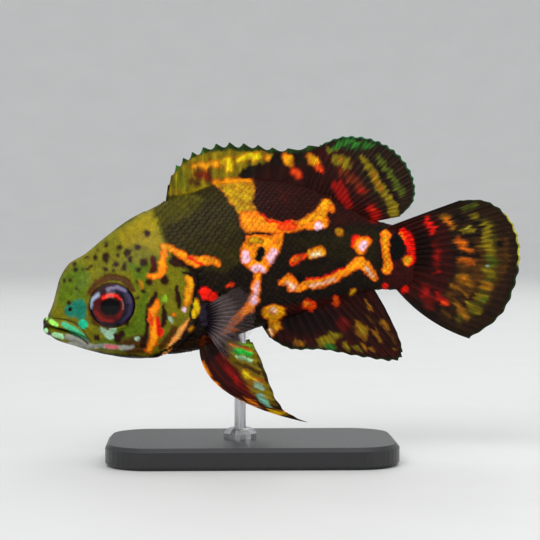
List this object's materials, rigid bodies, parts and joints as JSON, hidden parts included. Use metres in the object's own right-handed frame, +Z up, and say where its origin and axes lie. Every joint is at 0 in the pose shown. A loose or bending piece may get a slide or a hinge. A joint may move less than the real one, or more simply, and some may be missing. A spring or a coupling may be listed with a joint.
{
  "type": "oscar fish model",
  "caption": "Life-size still model of a young oscar fish swimming slightly nose down, held over a flat base by a short rod.",
  "frame": {"origin": "middle of the whole part's footprint, fin tips included, on the table that the base stands on", "axes": "+Z up; +X towards the tail and -X towards the nose, along the fish's length seen from above; -Y the fish's left side"},
  "size_m": [0.0992, 0.037, 0.0673],
  "materials": {
    "head_skin": "painted resin, satin gloss, olive with dark spots",
    "body_skin": "painted resin, satin gloss, maroon with orange and gold bands",
    "jaw_skin": "painted resin, gloss, pale green lips",
    "fin": "painted resin, satin, dark red with yellow bars",
    "clear_fin": "tinted clear resin, satin",
    "eye": "painted eye under clear gloss",
    "stand_paint": "satin black lacquer on steel",
    "stand_steel": "satin"
  },
  "bodies": {
    "root": {"head": "head_skin", "upper_jaw": "jaw_skin", "lower_jaw": "jaw_skin", "gill_cover_left": "head_skin", "gill_cover_right": "head_skin", "eye_left": "eye", "eye_right": "eye", "trunk_front": "body_skin", "trunk_rear": "body_skin", "tail_stem": "body_skin", "dorsal_fin_spiny": "fin", "dorsal_fin_soft": "fin", "caudal_fin": "fin", "anal_fin": "fin", "pectoral_fin_left": "clear_fin", "pectoral_fin_right": "clear_fin", "pelvic_fin_left": "fin", "pelvic_fin_right": "fin", "stand_base": "stand_paint", "stand_collar": "stand_steel", "stand_rod": "stand_steel"}
  },
  "joints": []
}
